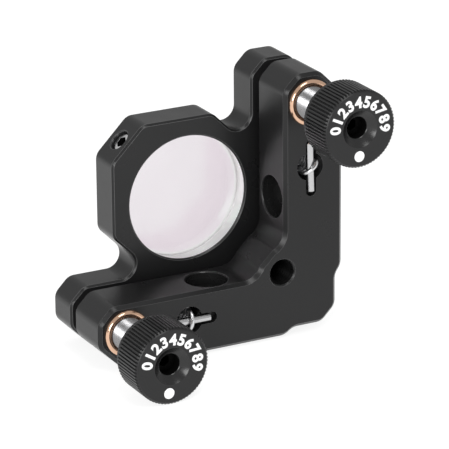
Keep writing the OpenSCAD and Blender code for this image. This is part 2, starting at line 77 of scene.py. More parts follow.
def axisOf(node):  # x and z of a round node's axis, then its lowest and highest y and its radius
    low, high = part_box(node)
    return Vector(((low.x + high.x) / 2, 0, (low.z + high.z) / 2)), low.y, high.y, (high.x - low.x) / 2


def shade(bm, sharpFrom):  # smooth faces, with the edges past that many degrees left sharp
    for face in bm.faces:
        face.smooth = True
    for edge in bm.edges:
        edge.smooth = not (edge.is_manifold and edge.calc_face_angle(0) > math.radians(sharpFrom))


def makePiece(bm, name, finishes, body, stands=(), sharpFrom=32):
    shade(bm, sharpFrom)
    mesh = bpy.data.meshes.new(name)
    bm.to_mesh(mesh)
    bm.free()
    piece = bpy.data.objects.new(name, mesh)
    scene.collection.objects.link(piece)
    for finish in finishes:
        mesh.materials.append(finish)
    if body:
        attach(piece, body)
    if stands:
        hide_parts(*stands)
    return piece


def evenNormals(piece):  # large flat faces keep their own shading beside small round ones
    piece.modifiers.new("evenNormals", "WEIGHTED_NORMAL").keep_sharp = True
    return piece


def copyOf(node):  # a merged copy of a CAD node's mesh
    bm = bmesh.new()
    bm.from_mesh(frame["nodes"][node].data)
    bmesh.ops.remove_doubles(bm, verts=bm.verts, dist=mergeWithin)
    return bm


def closeUp(bm):
    bmesh.ops.remove_doubles(bm, verts=bm.verts, dist=mergeWithin)
    bmesh.ops.recalc_face_normals(bm, faces=bm.faces)


def lineOf(bm, points):  # an open line of edges through the points
    verts = [bm.verts.new(p) for p in points]
    return verts, [bm.edges.new(pair) for pair in zip(verts, verts[1:])]


def turned(profile, steps, centre):  # a profile of (radius, y) turned about the Y axis through centre
    bm = bmesh.new()
    verts, edges = lineOf(bm, [(r, y, 0) for r, y in profile])
    bmesh.ops.spin(bm, geom=verts + edges, cent=(0, 0, 0), axis=(0, 1, 0), angle=fullTurn, steps=steps,
                   use_merge=True, use_duplicate=False)
    closeUp(bm)
    bmesh.ops.translate(bm, verts=bm.verts, vec=centre)
    return bm


def wound(points, pitch, steps):  # a profile wound round the Y axis, one pitch further every turn
    bm = bmesh.new()
    verts, edges = lineOf(bm, points)
    bmesh.ops.spin(bm, geom=verts + edges, cent=(0, 0, 0), axis=(0, 1, 0), angle=fullTurn, steps=steps,
                   dvec=(0, pitch / steps, 0), use_merge=False, use_duplicate=False)
    bmesh.ops.remove_doubles(bm, verts=bm.verts, dist=mergeWithin)
    return bm


def nextRing(bm, edges):  # extrudes a loop of edges, and gives the new edges and corners
    made = bmesh.ops.extrude_edge_only(bm, edges=edges)["geom"]
    return ([g for g in made if isinstance(g, bmesh.types.BMEdge)],
            [g for g in made if isinstance(g, bmesh.types.BMVert)])


def scaleRound(v, scale):  # moves a point towards or away from the Y axis
    v.co.x, v.co.z = v.co.x * scale, v.co.z * scale


def pullTo(verts, y, radius):  # sets a ring's level, and pulls in what stands outside radius
    for v in verts:
        scaleRound(v, min(1, radius / math.hypot(v.co.x, v.co.z)))
        v.co.y = y


faceNear = Matrix.Rotation(math.pi / 2, 3, "X")  # turns a flat shape to face along the Y axis


# helpers for materials

def newGroup(name, inputs, outputs):
    group = bpy.data.node_groups.new(name, "ShaderNodeTree")
    for label, kind, value in inputs:
        group.interface.new_socket(name=label, in_out="INPUT", socket_type=kind).default_value = value
    for label, kind in outputs:
        group.interface.new_socket(name=label, in_out="OUTPUT", socket_type=kind)
    return group, group.nodes.new("NodeGroupInput"), group.nodes.new("NodeGroupOutput")


def addNode(tree, kind, settings=None, **values):
    node = tree.nodes.new(kind)
    for key, value in (settings or {}).items():
        setattr(node, key, value)
    for key, value in values.items():
        node.inputs[key.replace("_", " ")].default_value = value
    return node


def grainGroup():  # the fine etched grain under an anodised skin
    group, start, end = newGroup("etchedGrain", [("Size", "NodeSocketFloat", 9000.0),
        ("Depth", "NodeSocketFloat", 0.2)], [("Mask", "NodeSocketFloat"), ("Normal", "NodeSocketVector")])
    place = addNode(group, "ShaderNodeTexCoord")
    fine = addNode(group, "ShaderNodeTexNoise", Detail=3.0, Roughness=0.6)
    bump = addNode(group, "ShaderNodeBump", Distance=0.00002)
    link = group.links.new
    link(place.outputs["Object"], fine.inputs["Vector"])
    link(start.outputs["Size"], fine.inputs["Scale"])
    link(start.outputs["Depth"], bump.inputs["Strength"])
    link(fine.outputs["Fac"], bump.inputs["Height"])
    link(fine.outputs["Fac"], end.inputs["Mask"])
    link(bump.outputs["Normal"], end.inputs["Normal"])
    return group


def patchGroup():  # broad soft patches, for handling marks and uneven dye
    group, start, end = newGroup("softPatches", [("Size", "NodeSocketFloat", 90.0)],
        [("Mask", "NodeSocketFloat")])
    place = addNode(group, "ShaderNodeTexCoord")
    broad = addNode(group, "ShaderNodeTexNoise", Detail=4.0, Roughness=0.55)
    spread = addNode(group, "ShaderNodeMapRange", {"interpolation_type": "SMOOTHSTEP"},
        From_Min=0.3, From_Max=0.7)
    link = group.links.new
    link(place.outputs["Object"], broad.inputs["Vector"])
    link(start.outputs["Size"], broad.inputs["Scale"])
    link(broad.outputs["Fac"], spread.inputs["Value"])
    link(spread.outputs["Result"], end.inputs["Mask"])
    return group


def turningGroup():  # fine rings round Axis through Centre, as a lathe or a drill leaves them
    group, start, end = newGroup("turningMarks", [("Centre", "NodeSocketVector", (0, 0, 0)),
        ("Axis", "NodeSocketVector", (0, 1, 0)), ("Rings", "NodeSocketFloat", 6000.0),
        ("Depth", "NodeSocketFloat", 0.2)], [("Mask", "NodeSocketFloat"), ("Normal", "NodeSocketVector")])
    place = addNode(group, "ShaderNodeTexCoord")
    offset = addNode(group, "ShaderNodeVectorMath", {"operation": "SUBTRACT"})
    square = addNode(group, "ShaderNodeVectorMath", {"operation": "CROSS_PRODUCT"})
    length = addNode(group, "ShaderNodeVectorMath", {"operation": "LENGTH"})
    height = addNode(group, "ShaderNodeVectorMath", {"operation": "DOT_PRODUCT"})
    along = addNode(group, "ShaderNodeMath", {"operation": "ADD"})
    times = addNode(group, "ShaderNodeMath", {"operation": "MULTIPLY"})
    lines = addNode(group, "ShaderNodeTexNoise", {"noise_dimensions": "1D"}, Scale=1.0, Detail=2.0)
    bump = addNode(group, "ShaderNodeBump", Distance=0.00002)
    link = group.links.new
    link(place.outputs["Object"], offset.inputs[0])
    link(start.outputs["Centre"], offset.inputs[1])
    for node in (square, height):
        link(offset.outputs[0], node.inputs[0])
        link(start.outputs["Axis"], node.inputs[1])
    link(square.outputs[0], length.inputs[0])
    link(length.outputs["Value"], along.inputs[0])
    link(height.outputs["Value"], along.inputs[1])
    link(along.outputs[0], times.inputs[0])
    link(start.outputs["Rings"], times.inputs[1])
    link(times.outputs[0], lines.inputs["W"])
    link(start.outputs["Depth"], bump.inputs["Strength"])
    link(lines.outputs["Fac"], bump.inputs["Height"])
    link(lines.outputs["Fac"], end.inputs["Mask"])
    link(bump.outputs["Normal"], end.inputs["Normal"])
    return group


etchedGrain, softPatches, turningMarks = grainGroup(), patchGroup(), turningGroup()


def newMaterial(name, **values):
    material = bpy.data.materials.new(name)
    material.use_nodes = True
    tree = material.node_tree
    tree.nodes.clear()
    shader = addNode(tree, "ShaderNodeBsdfPrincipled", None, **values)
    out = addNode(tree, "ShaderNodeOutputMaterial")
    tree.links.new(shader.outputs["BSDF"], out.inputs["Surface"])
    return material, tree, shader


def useGroup(tree, group, **values):
    node = tree.nodes.new("ShaderNodeGroup")
    node.node_tree = group
    for key, value in values.items():
        node.inputs[key].default_value = value
    return node


def mixColours(tree, mask, low, high, target):  # low where the mask is 0, high where it is 1
    mix = addNode(tree, "ShaderNodeMix", {"data_type": "RGBA"})  # its colours are inputs 6 and 7, output 2
    mix.inputs[6].default_value, mix.inputs[7].default_value = (*low, 1), (*high, 1)
    tree.links.new(mask, mix.inputs[0])
    tree.links.new(mix.outputs[2], target)


def spreadValue(tree, mask, low, high, target):
    spread = addNode(tree, "ShaderNodeMapRange", None, To_Min=low, To_Max=high)
    tree.links.new(mask, spread.inputs["Value"])
    tree.links.new(spread.outputs["Result"], target)


def anodisedMaterial(name, dark, light, roughness, level, depth):  # level is how strong its shine is
    material, tree, shader = newMaterial(name, Specular_IOR_Level=level, IOR=1.5)
    grain = useGroup(tree, etchedGrain, Size=9000.0, Depth=depth)
    patches = useGroup(tree, softPatches, Size=110.0)
    mixColours(tree, grain.outputs["Mask"], dark, light, shader.inputs["Base Color"])
    spreadValue(tree, patches.outputs["Mask"], roughness - 0.03, roughness + 0.03, shader.inputs["Roughness"])
    tree.links.new(grain.outputs["Normal"], shader.inputs["Normal"])
    return material


def turnedMaterial(name, centre, dark, light, roughness, metallic, level, rings, depth, axis=(0, 1, 0)):
    material, tree, shader = newMaterial(name, Metallic=metallic, Specular_IOR_Level=level)
    marks = useGroup(tree, turningMarks, Centre=centre, Axis=axis, Rings=rings, Depth=depth)
    patches = useGroup(tree, softPatches, Size=260.0)
    mixColours(tree, marks.outputs["Mask"], dark, light, shader.inputs["Base Color"])
    spreadValue(tree, patches.outputs["Mask"], roughness * 0.85, roughness * 1.15, shader.inputs["Roughness"])
    tree.links.new(marks.outputs["Normal"], shader.inputs["Normal"])
    return material


def metalMaterial(name, dark, light, roughness, size, depth):
    material, tree, shader = newMaterial(name, Metallic=1.0)
    grain = useGroup(tree, etchedGrain, Size=size, Depth=depth)
    patches = useGroup(tree, softPatches, Size=300.0)
    mixColours(tree, grain.outputs["Mask"], dark, light, shader.inputs["Base Color"])
    spreadValue(tree, patches.outputs["Mask"], roughness * 0.8, roughness * 1.2, shader.inputs["Roughness"])
    tree.links.new(grain.outputs["Normal"], shader.inputs["Normal"])
    return material


# dark and light colour and roughness, then a black's level and grain depth, or a metal's grain size and depth
plateBlack = anodisedMaterial("plateBlack", (0.008, 0.008, 0.0083), (0.015, 0.015, 0.0153), 0.3, 0.32, 0.3)
# partly worn thin anodising, partly painted highlight: the edge breaks' lighter colour stands in for the
# light the edges catch
edgeWearAndSheen = anodisedMaterial("edgeWearAndSheen", (0.07, 0.07, 0.071), (0.13, 0.13, 0.131), 0.3, 1.0, 0.3)
springSteel = metalMaterial("springSteel", (0.64, 0.64, 0.65), (0.78, 0.78, 0.79), 0.28, 5000.0, 0.05)
pinSteel = metalMaterial("pinSteel", (0.5, 0.5, 0.505), (0.6, 0.6, 0.605), 0.22, 6000.0, 0.1)
ballSteel = metalMaterial("ballSteel", (0.66, 0.66, 0.67), (0.72, 0.72, 0.73), 0.08, 3000.0, 0.02)
seatSteel = metalMaterial("seatSteel", (0.4, 0.4, 0.41), (0.5, 0.5, 0.51), 0.3, 8000.0, 0.15)
setScrewSteel = metalMaterial("setScrewSteel", (0.62, 0.62, 0.625), (0.85, 0.85, 0.855), 0.24, 9000.0, 0.2)
# painted shade: near black with little shine, for sockets and holes where shade falls
socketShade = anodisedMaterial("socketShade", (0.002, 0.002, 0.002), (0.004, 0.004, 0.004), 0.5, 0.08, 0.3)
# painted shade: the corner hole's thread is near black, as the shade in the hole
threadShade = anodisedMaterial("threadShade", (0.002, 0.002, 0.002), (0.004, 0.004, 0.004), 0.4, 0.03, 0.1)
dishBlack = anodisedMaterial("dishBlack", (0.006, 0.006, 0.0062), (0.011, 0.011, 0.0113), 0.22, 0.5, 0.1)
screwSteel = metalMaterial("screwSteel", (0.27, 0.27, 0.275), (0.33, 0.33, 0.335), 0.27, 5000.0, 0.02)
print("materials ready")


# the two plates

plates = dict(edgeBreak=0.0001, edgeSteps=2, flatWithin=0.4, edgeFrom=30, sharpFrom=40)
postHoles = dict(radius=0.0042, deepest=0.0122, nearest=0.0001, rings=2600.0, depth=0.5)
mounts = {mount["name"]: mount for mount in frame["record"]["mounts"]}


def drilledFinish(name, hole):  # the rings left in a post hole and its counterbore
    start, axis = Vector(mounts[hole]["pos_m"]), Vector(mounts[hole]["axis"])
    return turnedMaterial(name, start, (0.008, 0.008, 0.008), (0.02, 0.02, 0.02), 0.26, 0.0, 0.4,
                          postHoles["rings"], postHoles["depth"], axis)


def finishHole(bm, hole, index):  # gives that finish to the faces round the hole's axis
    start, axis = Vector(mounts[hole]["pos_m"]), Vector(mounts[hole]["axis"])
    for face in bm.faces:
        offset = face.calc_center_median() - start
        along = offset.dot(axis)
        beside = (offset - axis * along).length
        if beside < postHoles["radius"] and postHoles["nearest"] < -along < postHoles["deepest"]:
            face.material_index = index


def makePlate(node, name, body):
    bm = copyOf(node)
    bmesh.ops.dissolve_limit(bm, angle_limit=math.radians(plates["flatWithin"]), verts=bm.verts,
                             edges=bm.edges)
    edgeFrom = math.radians(plates["edgeFrom"])
    edges = [e for e in bm.edges if e.is_manifold and e.calc_face_angle(0) > edgeFrom]
    # the edge breaks get the lighter finish, partly wear and partly painted highlight
    bmesh.ops.bevel(bm, geom=edges, offset=plates["edgeBreak"], offset_type="OFFSET", affect="EDGES",
                    segments=plates["edgeSteps"], profile=0.5, material=1, clamp_overlap=True)
    finishes = [plateBlack, edgeWearAndSheen]
    if node == "back_plate":
        for hole in ("base_post_hole", "side_post_hole"):
            finishHole(bm, hole, len(finishes))
            finishes.append(drilledFinish(hole.split("_")[0] + "HoleBlack", hole))
    return evenNormals(makePiece(bm, name, finishes, body, [node], plates["sharpFrom"]))


backPlate = makePlate("back_plate", "backPlate", "back_plate")
frontPlate = makePlate("front_plate", "frontPlate", "front_plate")
print("plates:", len(backPlate.data.polygons), len(frontPlate.data.polygons))


# the thread of the corner hole

thread = dict(pitch=0.0008, depth=0.00043, flat=0.0001, wallGap=0.00001, skin=0.000006, leadIn=0.0002,
              stepsPerTurn=36)


def makeThread():
    hole = mounts["corner_hole"]
    start, rootR = Vector(hole["pos_m"]), hole["dims"]["r_mm"] / 1000 - thread["wallGap"]
    pitch, crestR = thread["pitch"], rootR - thread["depth"]
    low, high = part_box("back_plate")
    nearY, farY = low.y + thread["leadIn"], high.y - thread["leadIn"]
    turns = int((farY - nearY) / pitch) - 1
    points = []
    for k in range(turns):
        y = nearY + k * pitch
        points += [(rootR, y, 0), (crestR, y + (pitch - thread["flat"]) / 2, 0),
                   (crestR, y + (pitch + thread["flat"]) / 2, 0)]
    bm = wound(points + [(rootR, nearY + turns * pitch, 0)], pitch, thread["stepsPerTurn"])
    for v in bm.verts:  # the crests run out in a countersink at each end
        inside = max(0, min(v.co.y - nearY, farY - v.co.y))
        scaleRound(v, max(1, (rootR - inside) / math.hypot(v.co.x, v.co.z)))
    bmesh.ops.remove_doubles(bm, verts=bm.verts, dist=mergeWithin)
    skin, ring = nextRing(bm, [e for e in bm.edges if e.is_boundary])
    for v in ring:  # a thin skin beside the wall closes the thread
        scaleRound(v, (rootR + thread["skin"]) / math.hypot(v.co.x, v.co.z))
    bmesh.ops.bridge_loops(bm, edges=skin)
    closeUp(bm)
    bmesh.ops.translate(bm, verts=bm.verts, vec=(start.x, 0, start.z))
    makePiece(bm, "cornerThread", [threadShade], "back_plate", sharpFrom=30)


makeThread()
print("corner thread ready")


# bushings

bushing = dict(collarRound=0.0007, roundSteps=8, collarBevel=0.0004, collarProud=0.0009, wallIn=0.00045,
               boreGap=0.00003, steps=128,
               # from the bevel's inner end to the face: distances out from the bore, and along it
               mouth=[(0, 0), (0.00012, 0.00016), (0.00034, 0.00035), (0.00044, 0.0004)])


def makeBushing(node, name):
    centre, nearY, farY, collarR = axisOf(node)
    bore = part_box(node.replace("bushing", "screw"))
    boreR = (bore[1].x - bore[0].x) / 2 + bushing["boreGap"]
    sleeveR, faceY = collarR - bushing["wallIn"], nearY + bushing["collarProud"]
    corner, bevelY = bushing["collarRound"], nearY + bushing["collarBevel"]
    profile = [(boreR, farY)] + [(boreR + out, bevelY - along) for out, along in bushing["mouth"]]
    for k in range(bushing["roundSteps"] + 1):
        a = k * math.pi / 2 / bushing["roundSteps"]
        profile.append((collarR - corner * (1 - math.sin(a)), nearY + corner * (1 - math.cos(a))))
    profile += [(collarR, faceY), (sleeveR, faceY), (sleeveR, farY), (boreR, farY)]
    finish = turnedMaterial(name + "Bronze", centre, (0.7, 0.43, 0.29), (0.8, 0.54, 0.39), 0.12, 1.0, 0.5,
                            4000.0, 0.02)
    bm = turned(profile, bushing["steps"], centre)
    evenNormals(makePiece(bm, name, [finish], "back_plate", [node]))


makeBushing("top_bushing", "topBushing")
makeBushing("side_bushing", "sideBushing")
print("bushings ready")


# adjuster screws, with their fine thread

screw = dict(pitch=0.0003175, threadDepth=0.00016, flat=0.00004, stepsPerTurn=24, socketKey=0.002,
             socketL=0.003, endChamfer=0.0003, stemHoleR=0.00123, stemHoleL=0.0022, stemHoleSteps=32,
             cutWithin=1e-8)


def makeScrew(node, name, body):
    centre, nearY, farY, outerR = axisOf(node)
    pitch, rootR = screw["pitch"], outerR - screw["threadDepth"]
    turns = math.ceil((farY - nearY) / pitch) + 2
    points = []
    for k in range(turns):
        y = nearY + (k - 1) * pitch
        points += [(rootR, y, 0), (outerR, y + pitch / 2 - screw["flat"] / 2, 0),
                   (outerR, y + pitch / 2 + screw["flat"] / 2, 0)]
    bm = wound(points + [(rootR, nearY + (turns - 1) * pitch, 0)], pitch, screw["stepsPerTurn"])
    chamfer, keyR = screw["endChamfer"], screw["socketKey"] / 2 / math.cos(math.pi / 6)
    for y, inwards, sides, holeR, depth in (
            (nearY, 1, 6, keyR, screw["socketL"]),
            (farY, -1, screw["stemHoleSteps"], screw["stemHoleR"], screw["stemHoleL"])):
        cut = bmesh.ops.bisect_plane(bm, geom=bm.verts[:] + bm.edges[:] + bm.faces[:],
            dist=screw["cutWithin"], plane_co=(0, y + inwards * chamfer, 0), plane_no=(0, 1, 0),
            clear_inner=inwards > 0, clear_outer=inwards < 0)
        loop, ring = nextRing(bm, [g for g in cut["geom_cut"] if isinstance(g, bmesh.types.BMEdge)])
        pullTo(ring, y, outerR - chamfer)
        corners = bmesh.ops.create_circle(bm, segments=sides, radius=holeR)["verts"]
        bmesh.ops.rotate(bm, verts=corners, cent=(0, 0, 0), matrix=faceNear)
        bmesh.ops.translate(bm, verts=corners, vec=(0, y, 0))
        rim = [e for e in bm.edges if set(corners).issuperset(e.verts)]
        bmesh.ops.bridge_loops(bm, edges=loop + rim)
        floorEdges, floorVerts = nextRing(bm, rim)
        bmesh.ops.translate(bm, verts=floorVerts, vec=(0, inwards * depth, 0))
        bmesh.ops.edgeloop_fill(bm, edges=floorEdges)
    closeUp(bm)
    for face in bm.faces:  # the socket and the flat round it get painted shade, as dark as the shade down the knob's key hole
        spot = face.calc_center_median()
        near = spot.y < nearY + screw["socketL"] + levelWithin
        if near and math.hypot(spot.x, spot.z) < rootR - chamfer:
            face.material_index = 1
    bmesh.ops.translate(bm, verts=bm.verts, vec=centre)
    makePiece(bm, name, [screwSteel, socketShade], body, [node], sharpFrom=30)


makeScrew("top_screw", "topScrew", "top_adjuster")
makeScrew("side_screw", "sideScrew", "side_adjuster")
print("screws ready")


# knobs, with their straight knurl and print

knob = dict(teeth=70, toothDepth=0.0003, gripStart=0.0008, rimIn=0.0003, rimBreak=0.0002,
            gripBreak=0.00012, edge=0.00042, keyHoleR=0.002, boreL=0.0035, boreGap=0.00001,
            closeWithin=1e-6,
            # depth and radius down the wall of the dish
            dish=[(0, 0.0035), (0.00005, 0.00344), (0.00098, 0.00236), (0.00104, 0.00222),
                  (0.0011, 0.00211), (0.0012, 0.00203), (0.00134, 0.002)],
            # places along a tooth, and the share of its depth there
            tooth=[(0.0, 1.0), (0.08, 1.0), (0.32, 0.0), (0.76, 0.0), (1.0, 1.0)])


def makeKnob(node, name, body):
    centre, faceY, rearY, outerR = axisOf(node)
    step, depth = fullTurn / knob["teeth"], knob["toothDepth"]
    bm = bmesh.new()
    tooth = [(place * step, outerR - share * depth) for place, share in knob["tooth"]]
    verts, edges = lineOf(bm, [(r * math.cos(a), 0, -r * math.sin(a)) for a, r in tooth])
    bmesh.ops.spin(bm, geom=verts + edges, cent=(0, 0, 0), axis=(0, 1, 0), angle=fullTurn,
                   steps=knob["teeth"], use_merge=False, use_duplicate=True)
    bmesh.ops.remove_doubles(bm, verts=bm.verts, dist=knob["closeWithin"])
    gripY, valleyR, anyR = rearY - knob["gripStart"], outerR - depth, 1  # anyR pulls nothing in
    rimR, faceR, edge = outerR - knob["rimIn"], outerR - knob["edge"], knob["edge"]
    holeR, boreY, dish = knob["keyHoleR"], faceY + knob["boreL"], knob["dish"]
    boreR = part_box(node.replace("knob", "screw"))[1].x - centre.x + knob["boreGap"]
    outwards = [(faceY + edge, anyR), (faceY + edge - depth, valleyR), (faceY, faceR)]
    outwards += [(faceY + down, radius) for down, radius in dish] + [(boreY, holeR)]
    backwards = [(gripY - knob["gripBreak"], anyR), (gripY, valleyR), (gripY, rimR),
                 (rearY - knob["rimBreak"], rimR), (rearY, rimR - knob["rimBreak"]), (rearY, boreR)]
    for rings in (outwards, backwards):
        loop = [e for e in bm.edges if (e.is_boundary or e.is_wire) and all(v.co.y == 0 for v in e.verts)]
        for y, radius in rings:
            loop, ring = nextRing(bm, loop)
            pullTo(ring, y, radius)
    bmesh.ops.bridge_loops(bm, edges=[e for e in bm.edges if e.is_boundary])
    for v in bm.verts:  # the first ring joins the two halves of the grip
        if v.co.y == 0:
            v.co.y = (faceY + rearY) / 2
    closeUp(bm)
    finish = turnedMaterial(name + "Black", centre, (0.009, 0.009, 0.0093), (0.016, 0.016, 0.0164), 0.34,
                            0.0, 0.34, 5000.0, 0.25)
    finishes = [finish, socketShade, dishBlack]
    # the key hole's wall gets painted shade, and the dish its own glossier black
    for face in bm.faces:
        spot = face.calc_center_median()
        inside = math.hypot(spot.x, spot.z) < outerR / 2
        if inside and faceY + levelWithin < spot.y < boreY + levelWithin:
            found = socketShade if spot.y > faceY + dish[-1][0] else dishBlack
            face.material_index = finishes.index(found)
    bmesh.ops.translate(bm, verts=bm.verts, vec=centre)
    evenNormals(makePiece(bm, name, finishes, body, [node], sharpFrom=25))


makeKnob("top_knob", "topKnob", "top_adjuster")
makeKnob("side_knob", "sideKnob", "side_adjuster")
print("knobs ready")

dial = dict(digits="0123456789", height=0.00222, middleR=0.0051, firstAngle=176, lastAngle=-4,
            bold=0.04, extrude=0.02, curveSteps=12, roundSteps=6, thick=0.00003, dotR=0.00102,
            dotOut=0.0051, dotSteps=48)


def printWhite():
    material, tree, shader = newMaterial("printWhite", Roughness=0.5)
    patches = useGroup(tree, softPatches, Size=900.0)
    mixColours(tree, patches.outputs["Mask"], (0.9, 0.9, 0.9), (0.97, 0.97, 0.97),
               shader.inputs["Base Color"])
    return material


dialWhite = printWhite()


def digitMesh(digit):  # one bold digit, as a mesh centred on the origin and as high as the print
    text = bpy.data.curves.new("digit", "FONT")
    turnedOver = digit == "9"  # a 9 is made from a 6, whose outline takes the boldness cleanly in fewer steps
    text.body, text.align_x, text.align_y = "6" if turnedOver else digit, "CENTER", "CENTER"
    text.offset, text.extrude = dial["bold"], dial["extrude"]
    text.resolution_u = dial["roundSteps"] if digit in "69" else dial["curveSteps"]
    sample = bpy.data.objects.new("digit", text)
    scene.collection.objects.link(sample)
    bpy.context.view_layer.update()
    mesh = bpy.data.meshes.new_from_object(sample.evaluated_get(bpy.context.evaluated_depsgraph_get()))
    bpy.data.objects.remove(sample)
    bpy.data.curves.remove(text)
    xs, ys = [v.co.x for v in mesh.vertices], [v.co.y for v in mesh.vertices]
    scale = dial["height"] / (max(ys) - min(ys))
    mesh.transform(Matrix.Rotation(math.pi if turnedOver else 0, 4, "Z")
                   @ Matrix.Diagonal((scale, scale, dial["thick"] / (2 * dial["extrude"]), 1))
                   @ Matrix.Translation((-(max(xs) + min(xs)) / 2, -(max(ys) + min(ys)) / 2, 0)))
    return mesh


def makeDial(node, name, body, turn):  # turn is how far the marks stand clockwise, in degrees
    centre, faceY = axisOf(node)[:2]
    bm = bmesh.new()
    for k, digit in enumerate(dial["digits"]):
        share = k / (len(dial["digits"]) - 1)
        angle = math.radians(dial["firstAngle"] + (dial["lastAngle"] - dial["firstAngle"]) * share - turn)
        mesh = digitMesh(digit)
        mesh.transform(Matrix.Translation((centre.x, faceY, centre.z))
                       @ Matrix.Rotation(math.pi / 2 - angle, 4, "Y")
                       @ Matrix.Translation((0, 0, dial["middleR"])) @ Matrix.Rotation(math.pi / 2, 4, "X"))
        bm.from_mesh(mesh)
        bpy.data.meshes.remove(mesh)
    dot = bmesh.ops.create_cone(bm, cap_ends=True, segments=dial["dotSteps"], radius1=dial["dotR"],
                                radius2=dial["dotR"], depth=dial["thick"])["verts"]
    bmesh.ops.rotate(bm, verts=dot, cent=(0, 0, 0), matrix=faceNear)
    bmesh.ops.translate(bm, verts=dot, vec=(0, 0, -dial["dotOut"]))
    bmesh.ops.rotate(bm, verts=dot, cent=(0, 0, 0), matrix=Matrix.Rotation(math.radians(turn), 3, "Y"))
    bmesh.ops.translate(bm, verts=dot, vec=(centre.x, faceY, centre.z))
    closeUp(bm)
    makePiece(bm, name, [dialWhite], body, sharpFrom=30)


makeDial("top_knob", "topDial", "top_adjuster", 1.5)
makeDial("side_knob", "sideDial", "side_adjuster", 8)
print("dials ready")


# springs and their pins

# a hook's length, the length beside the cut that doesn't bend, and the angle at the rim of the wire's end
spring = dict(hook=0.0045, still=0.0006, endFrom=1.0, sharpFrom=80)


def makeSpring(node, name, cutBack):  # cut near the pivot ball, into a near half and a far half
    whole = copyOf(node)
    whole.verts.index_update()
    low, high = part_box(node)
    cutY = sum(corner.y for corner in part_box("pivot_ball")) / 2 - cutBack
    ends = [e for e in whole.edges if e.calc_face_angle() > spring["endFrom"]]
    wave = {v for e in ends for v in e.verts if v.co.y < cutY}
    near = set(wave)
    while sum(v.co.y for v in wave) / len(wave) < cutY:  # ring by ring along the wire from its near end
        wave = {e.other_vert(v) for v in wave for e in v.link_edges} - near
        near |= wave
    near = {v.index for v in near}
    still, hook = spring["still"], spring["hook"]
    for end, isNear, bodies, span in (
            ("Near", True, ("back_plate", "pivot_ball"), (low.y + hook, cutY - still)),
            ("Far", False, ("pivot_ball", "front_plate"), (cutY + still, high.y - hook))):
        half = whole.copy()
        crease = half.edges.layers.float.new("crease_edge")
        others = [f for f in half.faces if all(v.index in near for v in f.verts) != isNear]
        bmesh.ops.delete(half, geom=others, context="FACES")
        rim = [e for e in half.edges if e.is_boundary]
        bmesh.ops.holes_fill(half, edges=rim, sides=0)
        for edge in rim:
            edge[crease] = 1.0
        bmesh.ops.recalc_face_normals(half, faces=half.faces)
        piece = makePiece(half, name + end, [springSteel], None, [node], spring["sharpFrom"])
        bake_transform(piece)
        rounder = piece.modifiers.new("rounder", "SUBSURF")
        rounder.levels = rounder.render_levels = 1
    whole.free()


makeSpring("top_spring", "topSpring", 0.0025)
makeSpring("side_spring", "sideSpring", 0.0)
for node, name, body, finish, slotName in (
        ("top_back_pin", "topBackPin", "back_plate", pinSteel, "steel"),
        ("side_back_pin", "sideBackPin", "back_plate", pinSteel, "steel"),
        ("top_front_pin", "topFrontPin", "front_plate", pinSteel, "steel"),
        ("side_front_pin", "sideFrontPin", "front_plate", pinSteel, "steel"),
        ("top_ball_tip", "topBallTip", "top_tip", ballSteel, "polished_steel"),
        ("side_ball_tip", "sideBallTip", "side_tip", ballSteel, "polished_steel"),
        ("pivot_ball", "pivotBall", "pivot_ball", ballSteel, "polished_steel"),
        ("pivot_seat", "pivotSeat", "back_plate", seatSteel, "steel"),
        ("cone_seat", "coneSeat", "front_plate", seatSteel, "steel"),
        ("vee_seat", "veeSeat", "front_plate", seatSteel, "steel"),
        ("flat_seat", "flatSeat", "front_plate", seatSteel, "steel")):
    evenNormals(makePiece(copyOf(node), name, [finish], body, [node]))

setScrew = dict(axis=(-1, 0, 1), socketR=0.00122, floorUp=0.0003)


def makeSetScrew():
    bm = copyOf("mirror_set_screw")
    low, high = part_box("mirror_set_screw")
    centre, axis = (low + high) / 2, Vector(setScrew["axis"]).normalized()
    floorAt = min((v.co - centre).dot(axis) for v in bm.verts) + setScrew["floorUp"]
    for face in bm.faces:  # the hex socket gets painted shade inside
        offset = face.calc_center_median() - centre
        along = offset.dot(axis)
        if along > floorAt and (offset - axis * along).length < setScrew["socketR"]:
            face.material_index = 1
    evenNormals(makePiece(bm, "mirrorSetScrew", [setScrewSteel, socketShade], "front_plate",
                          ["mirror_set_screw"]))


makeSetScrew()
print("springs, pins, balls and seats ready")


# the mirror and the screw's nylon tip

def nylonMaterial():
    material, tree, shader = newMaterial("tipNylon", Roughness=0.45)
    patches = useGroup(tree, softPatches, Size=700.0)
    mixColours(tree, patches.outputs["Mask"], (0.68, 0.68, 0.65), (0.78, 0.78, 0.75),
               shader.inputs["Base Color"])
    return material


def glassMaterial(name, dark, light, roughness, coat=0.0, sheen=(1, 1, 1)):  # light passes through, tinted
    material, tree, shader = newMaterial(name, IOR=1.46, Transmission_Weight=1.0, Roughness=roughness,
        Coat_Weight=coat, Coat_IOR=1.8, Coat_Roughness=0.2, Specular_Tint=(*sheen, 1))
    patches = useGroup(tree, softPatches, Size=60.0)
    mixColours(tree, patches.outputs["Mask"], dark, light, shader.inputs["Base Color"])
    return material


def glowingGroundGlass(name, dark, light, paintedGlow):  # fine ground, with a painted glow standing in for the light held inside the glass
    material, tree, shader = newMaterial(name, Metallic=1.0, Emission_Color=(1, 0.985, 0.985, 1),
                                         Emission_Strength=paintedGlow)
    grain = useGroup(tree, etchedGrain, Size=12000.0, Depth=0.1)
    mixColours(tree, grain.outputs["Mask"], dark, light, shader.inputs["Base Color"])
    spreadValue(tree, grain.outputs["Mask"], 0.3, 0.4, shader.inputs["Roughness"])
    tree.links.new(grain.outputs["Normal"], shader.inputs["Normal"])
    return material


mirror = dict(nearBreak=0.00015, farBreak=0.00002, coatedR=0.012, groundR=0.01235, steps=160)


